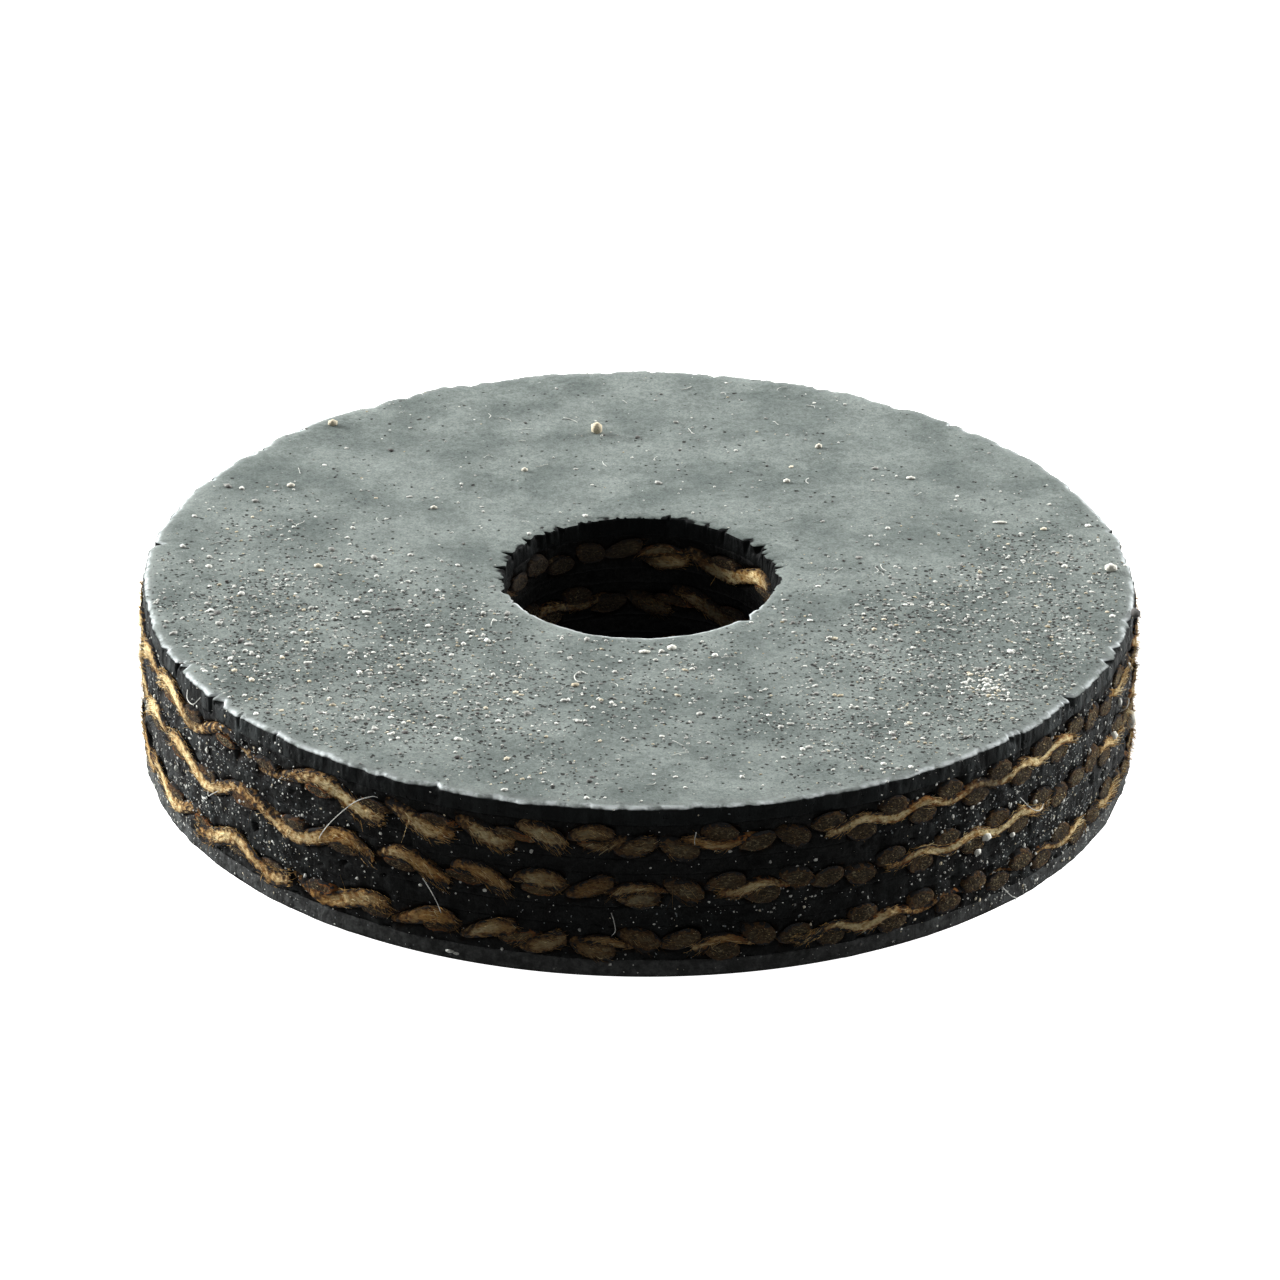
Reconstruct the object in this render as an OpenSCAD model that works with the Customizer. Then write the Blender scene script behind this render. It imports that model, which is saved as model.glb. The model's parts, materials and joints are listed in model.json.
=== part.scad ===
// Laminated wheel of cloth-ply rubber: three plies of plain-woven cotton duck, each worked into
// its own layer of friction rubber, with skim rubber between them and a rubber cover on each face.
// The disc and its bore are punched straight through the whole stack.
// It lies flat: +Z is the bore axis, and the origin is where that axis meets the bottom face.

/* [Disc] */
// Diameter of the punched disc
disc_d = 35; // [30:1:50]
// Diameter of the punched bore
bore_d = 9.6; // [6:0.1:12]

/* [Rubber layers] */
// Thickness of the cover on the top face
top_cover_t = 0.7; // [0.4:0.05:1.5]
// Thickness of the skim rubber between the upper and the middle ply
upper_skim_t = 0.55; // [0.4:0.05:1.5]
// Thickness of the skim rubber between the middle and the lower ply
lower_skim_t = 0.7; // [0.4:0.05:1.5]
// Thickness of the cover on the bottom face
bottom_cover_t = 0.65; // [0.4:0.05:1.5]

/* [Woven duck] */
// Distance between neighbouring warp yarns
warp_pitch = 1.14; // [1.1:0.02:1.4]
// Width of a warp yarn
warp_w = 0.86; // [0.6:0.02:0.9]
// Thickness of a warp yarn
warp_t = 0.44; // [0.3:0.02:0.5]
// Distance between neighbouring weft yarns
weft_pitch = 2.26; // [2.0:0.02:2.6]
// Width of a weft yarn
weft_w = 1.1; // [0.8:0.05:1.2]
// Thickness of a weft yarn
weft_t = 0.3; // [0.2:0.02:0.4]

/* [Lay of the plies] */
// Direction of the warp in the upper ply, in degrees from +X
upper_lay = -50; // [-90:1:90]
// Direction of the warp in the middle ply
middle_lay = -49; // [-90:1:90]
// Direction of the warp in the lower ply
lower_lay = -51; // [-90:1:90]

/* [Hidden] */

disc_r = disc_d / 2;
bore_r = bore_d / 2;

// Rubber between a warp and a weft yarn where they cross, and over the yarns of a ply
crossing_film = 0.03;
ply_skin = 0.03;

// How far a warp yarn rises and falls as it passes over and under the straight weft,
// and the thickness of the rubbered ply that this makes
warp_crimp = (warp_t + weft_t) / 2 + crossing_film;
ply_t = 2 * (warp_crimp + warp_t / 2 + ply_skin);

// Heights of the layers, from the bottom face up
lower_ply_z = bottom_cover_t;
lower_skim_z = lower_ply_z + ply_t;
middle_ply_z = lower_skim_z + lower_skim_t;
upper_skim_z = middle_ply_z + ply_t;
upper_ply_z = upper_skim_z + upper_skim_t;
top_cover_z = upper_ply_z + ply_t;

// A ply is [height of its underside, direction of its warp, shift of its warp and of its weft
// as shares of their pitches, which crossings have the warp on top (0 or 1)]
upper_ply = [upper_ply_z, upper_lay, 0.16, 0.61, 0];
middle_ply = [middle_ply_z, middle_lay, 0.96, 0.84, 1];
lower_ply = [lower_ply_z, lower_lay, 0.33, 0.77, 1];

// A yarn that the punched edge leaves narrower than this is cut away altogether
least_sliver = 0.15;
// A warp yarn stays level this far past each side of the weft yarn that it crosses
level_margin = 0.1;
level_half = weft_w / 2 + level_margin;

rubber_black = [0.10, 0.10, 0.10];
cover_grey = [0.36, 0.39, 0.37];
friction_brown_black = [0.14, 0.12, 0.10];
warp_tan = [0.72, 0.58, 0.36];
weft_brown = [0.56, 0.42, 0.25];

// A flat ring with the disc's outline and its bore
module ring(z, t) {
    translate([0, 0, z])
        difference() {
            cylinder(r = disc_r, h = t, $fn = 180);
            translate([0, 0, -1]) cylinder(r = bore_r, h = t + 2, $fn = 90);
        }
}

// Numbers of the yarns that reach the disc, for a pitch, a shift and a yarn's width
function yarn_numbers(pitch, shift, width) =
    let (last = floor(disc_r / pitch) + 1)
    [for (i = [-last : last])
        if (abs((i + shift) * pitch) - width / 2 < disc_r - least_sliver) i];

// +1 where warp yarn i passes over weft yarn j, and -1 where it passes under it
function side(i, j, ply) = abs(i + j + ply[4]) % 2 == 0 ? 1 : -1;

// One long edge of a warp yarn's side view: level over or under each weft yarn, and sloping
// in between
function crimp_edge(i, ply, lift) =
    let (last = ceil(disc_r / weft_pitch) + 1)
    [for (j = [-last : last], end = [-1, 1])
        [(j + ply[3]) * weft_pitch + end * level_half, side(i, j, ply) * warp_crimp + lift]];

function backwards(points) = [for (k = [len(points) - 1 : -1 : 0]) points[k]];

// Warp yarn i of a ply, along +X and longer than the disc, its middle plane at height 0
module warp_yarn(i, ply) {
    top = crimp_edge(i, ply, warp_t / 2);
    underside = crimp_edge(i, ply, -warp_t / 2);
    translate([0, warp_w / 2, 0])
        rotate([90, 0, 0])
            linear_extrude(height = warp_w)
                polygon(concat(top, backwards(underside)));
}

// All the warp yarns of a ply, before the disc is punched
module warp_sheet(ply) {
    translate([0, 0, ply[0] + ply_t / 2])
        rotate([0, 0, ply[1]])
            for (i = yarn_numbers(warp_pitch, ply[2], warp_w))
                translate([0, (i + ply[2]) * warp_pitch, 0])
                    warp_yarn(i, ply);
}

// All the weft yarns of a ply: straight, and square to the warp
module weft_sheet(ply) {
    translate([0, 0, ply[0] + ply_t / 2])
        rotate([0, 0, ply[1]])
            for (j = yarn_numbers(weft_pitch, ply[3], weft_w))
                translate([(j + ply[3]) * weft_pitch, 0, 0])
                    cube([weft_w, disc_d + 2, weft_t], center = true);
}

// The yarns of a ply as the punch leaves them, flush with the rim and the bore
module warp(ply) {
    color(warp_tan)
        intersection() {
            ring(ply[0], ply_t);
            warp_sheet(ply);
        }
}

module weft(ply) {
    color(weft_brown)
        intersection() {
            ring(ply[0], ply_t);
            weft_sheet(ply);
        }
}

// The rubber that was worked into the cloth: it fills the ply around the yarns
module friction(ply) {
    color(friction_brown_black)
        difference() {
            ring(ply[0], ply_t);
            warp_sheet(ply);
            weft_sheet(ply);
        }
}

module top_cover() { color(cover_grey) ring(top_cover_z, top_cover_t); }
module upper_ply_friction() { friction(upper_ply); }
module upper_ply_warp() { warp(upper_ply); }
module upper_ply_weft() { weft(upper_ply); }
module upper_skim() { color(rubber_black) ring(upper_skim_z, upper_skim_t); }
module middle_ply_friction() { friction(middle_ply); }
module middle_ply_warp() { warp(middle_ply); }
module middle_ply_weft() { weft(middle_ply); }
module lower_skim() { color(rubber_black) ring(lower_skim_z, lower_skim_t); }
module lower_ply_friction() { friction(lower_ply); }
module lower_ply_warp() { warp(lower_ply); }
module lower_ply_weft() { weft(lower_ply); }
module bottom_cover() { color(rubber_black) ring(0, bottom_cover_t); }

top_cover();
upper_ply_friction();
upper_ply_warp();
upper_ply_weft();
upper_skim();
middle_ply_friction();
middle_ply_warp();
middle_ply_weft();
lower_skim();
lower_ply_friction();
lower_ply_warp();
lower_ply_weft();
bottom_cover();
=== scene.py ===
"""The look of a wheel punched from cloth-ply rubber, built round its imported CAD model.

The rubber layers are rings with cut, nicked walls. Each ply is really woven from warp and weft
yarns, cut off at the rim and the bore and frayed there, and loose dust lies on the wheel.
Lengths are in millimetres until a mesh is made. An angle round the wheel is 0 at the front,
which is -Y, and grows towards +X.
"""

import json
import math
from itertools import combinations

import bpy
import numpy as np
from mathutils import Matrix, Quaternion, Vector


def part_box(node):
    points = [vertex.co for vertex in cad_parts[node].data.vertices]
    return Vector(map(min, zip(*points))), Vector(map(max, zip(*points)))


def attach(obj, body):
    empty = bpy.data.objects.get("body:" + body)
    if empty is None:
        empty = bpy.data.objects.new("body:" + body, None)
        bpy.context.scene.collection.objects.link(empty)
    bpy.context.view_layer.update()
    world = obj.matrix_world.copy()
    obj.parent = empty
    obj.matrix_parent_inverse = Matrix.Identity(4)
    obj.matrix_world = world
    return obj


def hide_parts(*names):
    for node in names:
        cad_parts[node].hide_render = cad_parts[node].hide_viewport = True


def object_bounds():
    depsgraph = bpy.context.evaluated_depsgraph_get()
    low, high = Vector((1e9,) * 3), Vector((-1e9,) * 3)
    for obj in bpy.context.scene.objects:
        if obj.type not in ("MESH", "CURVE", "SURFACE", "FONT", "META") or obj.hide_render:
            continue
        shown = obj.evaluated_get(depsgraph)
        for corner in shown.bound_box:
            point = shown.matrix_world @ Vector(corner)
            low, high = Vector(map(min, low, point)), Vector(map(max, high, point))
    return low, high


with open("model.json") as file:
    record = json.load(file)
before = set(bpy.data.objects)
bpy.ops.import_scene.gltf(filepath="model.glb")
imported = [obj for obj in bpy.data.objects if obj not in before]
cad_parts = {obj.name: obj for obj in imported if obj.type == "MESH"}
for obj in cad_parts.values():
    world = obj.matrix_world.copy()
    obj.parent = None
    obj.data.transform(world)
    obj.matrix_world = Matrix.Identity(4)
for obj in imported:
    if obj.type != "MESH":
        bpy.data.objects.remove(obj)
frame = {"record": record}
cad_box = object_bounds()
scene = bpy.context.scene

MM = 0.001
RIM = cad_box[1][0] / MM
TOP = cad_box[1][2] / MM
BORE = next(m for m in frame["record"]["mounts"] if m["name"] == "bore")["dims"]["r_mm"]


def heights(node):
    low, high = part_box(node)
    return low[2] / MM, high[2] / MM


def new_object(name, data):
    made = bpy.data.objects.new(name, data)
    scene.collection.objects.link(made)
    return made


# ---- camera

ELEVATION = math.radians(27.3)
DISTANCE = 0.2947
LENS = 232.3
ROLL = math.radians(0.62)

eye = DISTANCE * Vector((0, -math.cos(ELEVATION), math.sin(ELEVATION)))
aim = Vector((0.00005, 0.00164, 0.00317))
camera = new_object("camera", bpy.data.cameras.new("camera"))
camera.data.sensor_width = 36
camera.data.lens = LENS
camera.data.clip_start, camera.data.clip_end = 0.01, 20
camera.location = eye
camera.rotation_mode = "QUATERNION"
camera.rotation_quaternion = (aim - eye).to_track_quat("-Z", "Y") @ Quaternion((0, 0, 1), ROLL)
scene.camera = camera
scene.view_settings.view_transform = "Standard"
scene.view_settings.look = "None"

# ---- noise and small tools


def hashed(x, y, z, seed):
    """A repeatable number from 0 to 1 for each whole-number point."""
    n = (x * 374761393 + y * 668265263 + z * 1442695041 + seed * 974711) & 0xFFFFFFFF
    n = ((n ^ (n >> 13)) * 1274126177) & 0xFFFFFFFF
    n = ((n ^ (n >> 15)) * 1103515245) & 0xFFFFFFFF
    return ((n ^ (n >> 16)) & 0xFFFFFF) / 0xFFFFFF


def noise(points, cell, seed):
    """Smooth noise from -1 to 1, with features about one cell across. The cell may be 3 sizes."""
    q = points / np.asarray(cell, float)
    low = np.floor(q).astype(np.int64)
    f = q - low
    f = f * f * (3 - 2 * f)
    total = 0
    for corner in np.ndindex(2, 2, 2):
        x, y, z = np.where(corner, f, 1 - f).T
        total = total + x * y * z * hashed(*(low + corner).T, seed)
    return 2 * total - 1


def step(low, high, x):
    """0 below low, 1 above high, and smooth in between."""
    t = np.clip((x - low) / (high - low), 0, 1)
    return t * t * (3 - 2 * t)


def hill(x, middle, width):
    """1 in the middle, falling off smoothly on both sides."""
    return np.exp(-(((x - middle) / width) ** 2))


def around(angle, radius, z):
    """Points from angles in degrees, radii and heights."""
    angle, radius, z = np.broadcast_arrays(np.radians(angle), radius, z)
    return np.stack([radius * np.sin(angle), -radius * np.cos(angle), z], -1).astype(float)


def angle_of(points):
    return np.degrees(np.arctan2(points[:, 0], -points[:, 1]))


def apart(angle, other):
    """How far apart two angles are, in degrees."""
    return np.abs((angle - other + 180) % 360 - 180)


def unit(vectors):
    return vectors / np.maximum(np.linalg.norm(vectors, axis=-1, keepdims=True), 1e-9)


class Build:
    """Collects the points and faces of one mesh, with 3 values at each point for its material.
    The faces in flat are triangles that are not shaded smooth."""

    def __init__(self):
        self.points, self.values, self.count = [], [], 0
        self.quads, self.tris, self.flat = [], [], []

    def add(self, points, values, quads=(), tris=()):
        points = np.asarray(points, float).reshape(-1, 3)
        start = self.count
        self.points.append(points)
        self.values.append(np.broadcast_to(np.asarray(values, float), points.shape))
        self.quads.append(np.asarray(quads, np.int64).reshape(-1, 4) + start)
        self.tris.append(np.asarray(tris, np.int64).reshape(-1, 3) + start)
        self.count += len(points)
        return start

    def make(self, name, material, replaces=()):
        quads, tris = np.concatenate(self.quads), np.concatenate(self.tris + self.flat)
        smooth = np.ones(len(quads) + len(tris), bool)
        smooth[len(smooth) - sum(len(part) for part in self.flat):] = False
        points = np.concatenate(self.points) * MM
        mesh = bpy.data.meshes.new(name)
        mesh.vertices.add(len(points))
        mesh.vertices.foreach_set("co", points.ravel())
        mesh.loops.add(quads.size + tris.size)
        mesh.loops.foreach_set("vertex_index", np.concatenate([quads.ravel(), tris.ravel()]))
        sizes = np.concatenate([np.full(len(quads), 4), np.full(len(tris), 3)])
        mesh.polygons.add(len(sizes))
        mesh.polygons.foreach_set("loop_start", np.concatenate([[0], np.cumsum(sizes)[:-1]]))
        mesh.polygons.foreach_set("use_smooth", smooth)
        mesh.update(calc_edges=True)
        look = mesh.attributes.new("look", "FLOAT_VECTOR", "POINT")
        look.data.foreach_set("vector", np.concatenate(self.values).ravel())
        mesh.materials.append(material)
        piece = new_object(name, mesh)
        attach(piece, "root")
        if replaces:
            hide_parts(*replaces)
        return piece


# ---- the three plies

# The two kinds of yarn. Kind 0 is the warp, which runs along the cloth's X, and kind 1 is the
# weft, along its Y. The pairs below hold first the warp's and then the weft's size.
PITCH, WIDE, THICK, RISE = (1.14, 2.26), (1.1, 1.2), (0.6, 0.34), (0.33, -0.13)


class Ply:
    """One cloth. Its yarns wander: slants holds X, shift and slant of the weft there, and moves
    holds Y and shift of the warp there. Tufts holds angle, width and amount of loose fibres."""

    def __init__(self, name, lay, shift, start, seed, slants, moves, tufts=()):
        self.name, self.shift, self.start, self.seed, self.tufts = name, shift, start, seed, tufts
        self.cos, self.sin = math.cos(math.radians(lay)), math.sin(math.radians(lay))
        self.slants, self.moves = np.array(slants).T, np.array(moves).T
        self.middle = sum(heights(name + "_ply_friction")) / 2

    def to_cloth(self, points):
        """Points in the cloth's own directions: along the warp, along the weft, height."""
        x, y, z = points.T
        return np.stack([x * self.cos + y * self.sin, y * self.cos - x * self.sin, z - self.middle], 1)

    def to_wheel(self, points):
        x, y, z = points.T
        return np.stack([x * self.cos - y * self.sin, x * self.sin + y * self.cos, z + self.middle], 1)

    def wander(self, kind, x, y):
        """How far the yarns of a kind are from where an even weave would have them."""
        if kind == 0:
            return np.interp(y, *self.moves)
        where, shift, slant = self.slants
        return np.interp(x, where, shift) + np.interp(x, where, slant) * y

    def even(self, kind, x, y):
        """Where a place would be across the yarns of a kind if the weave were even."""
        return (x if kind else y) - self.wander(kind, x, y)

    def height(self, kind, number, x, y):
        """The height of a yarn's middle line, as it goes over and under the other kind."""
        side = 1 - 2 * ((number + self.start) % 2)
        other = 1 - kind
        wave = np.cos(np.pi * (self.even(other, x, y) / PITCH[other] - self.shift[other]))
        return side * RISE[kind] * wave

    def nearest_yarn(self, points):
        """How far points are from a yarn's middle line, where 1 is the yarn's surface."""
        x, y, z = self.to_cloth(points).T
        away = []
        for kind in (0, 1):
            even, pitch, shift = self.even(kind, x, y), PITCH[kind], self.shift[kind]
            number = np.round(even / pitch - shift)
            off = even - (number + shift) * pitch
            up = z - self.height(kind, number, x, y)
            away.append(np.hypot(off / (WIDE[kind] / 2), up / (THICK[kind] / 2)))
        return np.minimum(*away)


PLIES = [
    Ply("upper", -50, (0.16, 0.61), 0, 100,
        [(-6, 0, 0), (-3, 0, 0.014), (1.5, 0, 0.014), (4, 0, 0)],
        [(-6, 0), (-2, 0.15), (2, 0.2), (6, -0.1), (9, 0)]),
    Ply("middle", -49, (0.96, 0.84), 1, 200,
        [(0, 0, 0), (2.5, 0, -0.022), (5, 0, -0.015), (8, 0, 0)],
        [(-12, 0), (-9, 0.2), (-6, 0)],
        [(-45, 4, 0.8)]),
    Ply("lower", -51, (0.33, 0.77), 1, 300,
        [(-8, 0, -0.022), (-1, 0, -0.022), (1.5, 0, 0), (15.5, 0, 0), (17, -0.7, -0.08)],
        [(-16, 0), (-9, 0.15), (-3, 0.25), (1, 0.35), (8, 0.35), (14, 0)],
        [(-50, 5, 1.5), (-27, 4, 1.0)]),
]

# ---- the punched surfaces

# Nicks in the top edge of the rim: angle, width, depth and how far down they reach
RIM_NICKS = [
    (-66.3, 0.25, 0.3, 0.75), (-65.2, 0.45, 0.25, 0.3), (-56.8, 0.2, 0.3, 0.8), (-55.2, 0.6, 0.24, 0.3),
    (-51, 0.1, 0.2, 0.6), (-45, 0.12, 0.2, 0.5), (-23, 0.4, 0.2, 0.2), (-16, 0.7, 0.12, 0.15),
    (-8, 0.25, 0.1, 0.12), (46.9, 0.3, 0.2, 0.4), (48.6, 0.08, 0.2, 1.0), (58.8, 0.35, 0.4, 0.5),
    (69.5, 0.5, 0.3, 0.35), (73, 0.5, 0.25, 0.3),
    (104, 0.4, 0.2, 0.4), (139, 0.3, 0.3, 0.5), (171, 0.5, 0.2, 0.3), (-98, 0.35, 0.3, 0.5),
    (-127, 0.3, 0.22, 0.4), (-158, 0.45, 0.24, 0.5),
]
# The same for the bore
BORE_NICKS = [
    (50, 0.5, 0.22, 0.5), (-111, 0.22, 0.4, 0.35), (-97, 0.2, 0.4, 0.3), (-126, 0.25, 0.3, 0.3),
    (100, 0.2, 0.3, 0.3), (168, 0.15, 0.3, 0.25), (-144, 0.2, 0.26, 0.3), (121, 0.2, 0.26, 0.3),
]


def nicks(points, radius, places):
    angle, z = angle_of(points), points[:, 2]
    depth = np.zeros(len(points))
    for place, width, deep, reach in places:
        across = np.radians(apart(angle, place)) * radius / (width / 2)
        down = (TOP - z) / reach
        depth = np.maximum(depth, deep * np.clip(1.1 - across, 0, 1) * (1 - step(0.5, 1, down)))
    return depth


def cut_wall(points, torn):
    """How far a punched wall stands out: knife lines down it, and torn rubber in the layers."""
    lines = 0.008 * noise(points, (0.14, 0.14, 2), 1) + 0.014 * noise(points, (0.35, 0.35, 3), 2)
    facets = 0.06 * noise(points, (0.9, 0.9, 1.6), 3)
    rough = 0.04 * noise(points, 0.32, 4) + 0.026 * noise(points, 0.14, 5)
    holes = -0.12 * step(0.55, 0.9, noise(points, (0.45, 0.45, 0.22), 6))
    return lines + facets + torn * (rough + holes)


def rim_wall(points, torn=1.0):
    """How far the rim stands out from its true radius."""
    below = TOP - points[:, 2]
    near_top = np.exp(-below / 0.35)
    ragged = noise(points, (0.2, 0.2, 1.2), 11)
    teeth = noise(points, (0.42, 0.42, 1.0), 12)
    patchy = step(-0.3, 0.5, noise(points, (5, 5, 50), 13))
    out = cut_wall(points, torn)
    out = out - near_top * patchy * (0.1 * step(0.1, 0.8, ragged) + 0.12 * step(0.15, 0.7, teeth))
    back = step(80, 120, np.abs(angle_of(points)))
    bites = 0.14 * step(0.2, 0.7, noise(points, (0.6, 0.6, 2), 16))
    out = out + back * near_top * (0.12 * noise(points, (1.5, 1.5, 3), 15) - bites)
    out = out + 0.03 * near_top * noise(points, (0.12, 0.12, 2), 14)
    return out - nicks(points, RIM, RIM_NICKS)


def bore_wall(points, torn=1.0):
    """How far the bore's wall stands in from its true radius."""
    below = TOP - points[:, 2]
    near_top = np.exp(-below / 0.3)
    back = step(40, 75, apart(angle_of(points), 0))
    ragged = step(0.15, 0.75, noise(points, (0.13, 0.13, 1.5), 21))
    teeth = step(0.1, 0.7, noise(points, (0.3, 0.3, 1.5), 22))
    inwards = 0.8 * cut_wall(points + 40, torn)
    inwards = inwards - near_top * (0.08 + 0.92 * back) * (0.2 * ragged + 0.2 * teeth)
    return inwards - nicks(points, BORE, BORE_NICKS)


# Where the top face is dusty and pitted: X, Y, how far the patch reaches and how dusty it is
DUSTY = [
    (-11.5, -7, 4.5, 1.6), (-7, -9.5, 3.5, 0.9), (-14, -2.5, 3.5, 0.7), (-8, -3.5, 3.5, 0.5),
    (11.5, -8, 4.2, 1.7), (13.5, -2.5, 4, 1.0), (8.5, -4, 3.5, 0.6), (0, -7.5, 3.5, 0.5),
    (-2.5, -14, 3, 0.35), (7.5, -12, 3.5, 0.5), (14.5, 2.5, 3, 0.4), (-12.5, 3.5, 3, 0.2),
    (2, -10.5, 2.5, 0.25), (11.8, -8.2, 1.4, 1.0),
]


def dustiness(points):
    """How dusty and pitted the top face is, from 0 to 1."""
    flat = points * (1, 1, 0)
    amount = np.full(len(points), 0.035)
    for x, y, reach, level in DUSTY:
        amount = amount + level * hill(np.hypot(flat[:, 0] - x, flat[:, 1] - y), 0, reach)
    uneven = 1 + 0.5 * noise(flat, 2.2, 37) + 0.4 * noise(flat, 0.8, 38)
    radius = np.hypot(flat[:, 0], flat[:, 1])
    clear = step(0.1, 0.6, RIM - radius) * step(0.05, 0.5, radius - BORE)
    return np.clip(amount * uneven, 0, 1) * clear


def top_relief(points):
    """The height of the top face above its true plane."""
    flat = points * (1, 1, 0)
    radius = np.hypot(points[:, 0], points[:, 1])
    edge = np.exp(-np.maximum(RIM - radius, 0) / 0.24)
    bore_edge = np.exp(-np.maximum(radius - BORE, 0) / 0.18)
    droop = edge * (0.09 + 0.06 * noise(flat, 1.8, 35) + 0.03 * noise(flat, 0.5, 36))
    height = -droop - 0.06 * bore_edge + 0.035 * noise(flat, 5.5, 31) + 0.014 * noise(flat, 1.3, 32)
    return height + 0.009 * noise(flat, 0.45, 33) + 0.006 * noise(flat, 0.2, 34)


def wall_dust_and_sheen(points):
    """How dusty the rim is, from 0 to 1, and so how much pale haze of painted sheen it gets: most at the
    front left and the front right, where the side lights graze the wall.
    """
    angle, z = angle_of(points), points[:, 2]
    amount = 0.1 + 0.16 * step(22, 45, np.abs(angle))
    # These two hills are partly dust and partly painted sheen of the side lights.
    amount = amount + 0.75 * hill(angle, -64, 15) + 0.75 * hill(angle, 56, 17)
    amount = amount + 0.4 * hill(angle, 8, 16) * hill(z, 2.9, 0.7)
    amount = amount + 0.05 * step(95, 130, np.abs(angle))
    uneven = 1 + 0.7 * noise(points, (2.2, 2.2, 1.0), 63) + 0.5 * noise(points, 0.6, 64)
    return np.clip(amount * uneven, 0, 1)


def warped(points):
    """Lets the layers inside wander up and down a little, and leaves both faces where they are."""
    points = points.copy()
    z = points[:, 2]
    free = step(0, 0.8, z) * step(0, 0.8, TOP - z)
    wander = 0.06 * noise(points, (4.5, 4.5, 9), 41) + 0.03 * noise(points, (1.6, 1.6, 3), 42)
    points[:, 2] = z + free * wander
    return points


def zip_rings(first, count, second, other):
    """Faces between two rings of points that may differ in number."""
    if count == other:
        j = np.arange(count)
        k = (j + 1) % count
        return np.stack([first + j, first + k, second + k, second + j], 1)
    tris, i, j = [], 0, 0
    while i < count or j < other:
        if j >= other or (i < count and (i + 1) * other <= (j + 1) * count):
            tris.append((first + i % count, first + (i + 1) % count, second + j % other))
            i += 1
        else:
            tris.append((first + i % count, second + (j + 1) % other, second + j % other))
            j += 1
    return np.array(tris)


def turned(build, rows, ply=None, torn=1.0):
    """A ring turned from rows, which go round its section: radius, height, number of points,
    how far the row takes part in the relief of the wall and of the face, and how cut it looks."""
    starts = []
    for radius, z, count, wall, face, cut in rows:
        angle = np.arange(count) * 360 / count
        points = around(angle, radius, z)
        outwards = around(angle, 1, 0)
        values = np.zeros((count, 3))
        values[:, 0] = cut
        if not ply and face:
            back = step(60, 100, np.abs(angle_of(points)))
            worn = 1 - back * (1 + 1.3 * step(-0.1, 0.5, noise(points, (0.3, 0.3, 1), 39)))
            values[:, 1] = math.exp(-((RIM - radius) / 0.3)) + worn * math.exp(-((radius - BORE) / 0.17))
            values[:, 2] = dustiness(points)
        moved = points.copy()
        if wall:
            at_rim = radius > (RIM + BORE) / 2
            if at_rim and (ply or not face):
                values[:, 2] = wall_dust_and_sheen(points)
            wall_points = around(angle, RIM if at_rim else BORE, z)
            out = rim_wall(wall_points, torn) if at_rim else -bore_wall(wall_points, torn)
            if ply:
                near = ply.nearest_yarn(points)
                sunk = 0.1 * hill(near, 1.12, 0.2) + 0.14 * step(1.1, 0.9, near)
                out = out - sunk if at_rim else out + sunk
                # How near the yarns the rubber is; the material paints shade there, and a brown stain.
                values[:, 1] = hill(np.maximum(near, 1), 1, 0.4)
            moved += outwards * (wall * out)[:, None]
        if face:
            relief = top_relief(points) * (1 if z > TOP / 2 else -1)
            moved[:, 2] += face * relief
        starts.append(build.add(warped(moved), values))
    for k in range(len(rows)):
        n = (k + 1) % len(rows)
        faces = zip_rings(starts[k], rows[k][2], starts[n], rows[n][2])
        if abs(rows[k][0] - rows[n][0]) > 5:
            build.flat.append(faces)
        else:
            (build.quads if faces.shape[1] == 4 else build.tris).append(faces)


def wall_rows(radius, low, high, spacing, count, upwards):
    steps = max(2, round((high - low) / spacing))
    rows = [(radius, low + (high - low) * k / steps, count, 1, 0, 1) for k in range(steps + 1)]
    return rows if upwards else rows[::-1]


def corner_rows(radius, z, lip, sign, up, count, turns=5):
    """Rows round a rounded edge, from the wall to the face. Sign is 1 at the rim, -1 at the bore."""
    rows = []
    for k in range(1, turns):
        turn = math.pi / 2 * k / turns
        rows.append((
            radius - sign * lip * (1 - math.cos(turn)),
            z - up * lip * (1 - math.sin(turn)),
            count,
            1 if up > 0 else math.cos(turn) ** 0.5,
            math.sin(turn),
            step(0.75, 0.25, math.sin(turn)) if up > 0 else 1,
        ))
    return rows


# ---- materials


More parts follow.
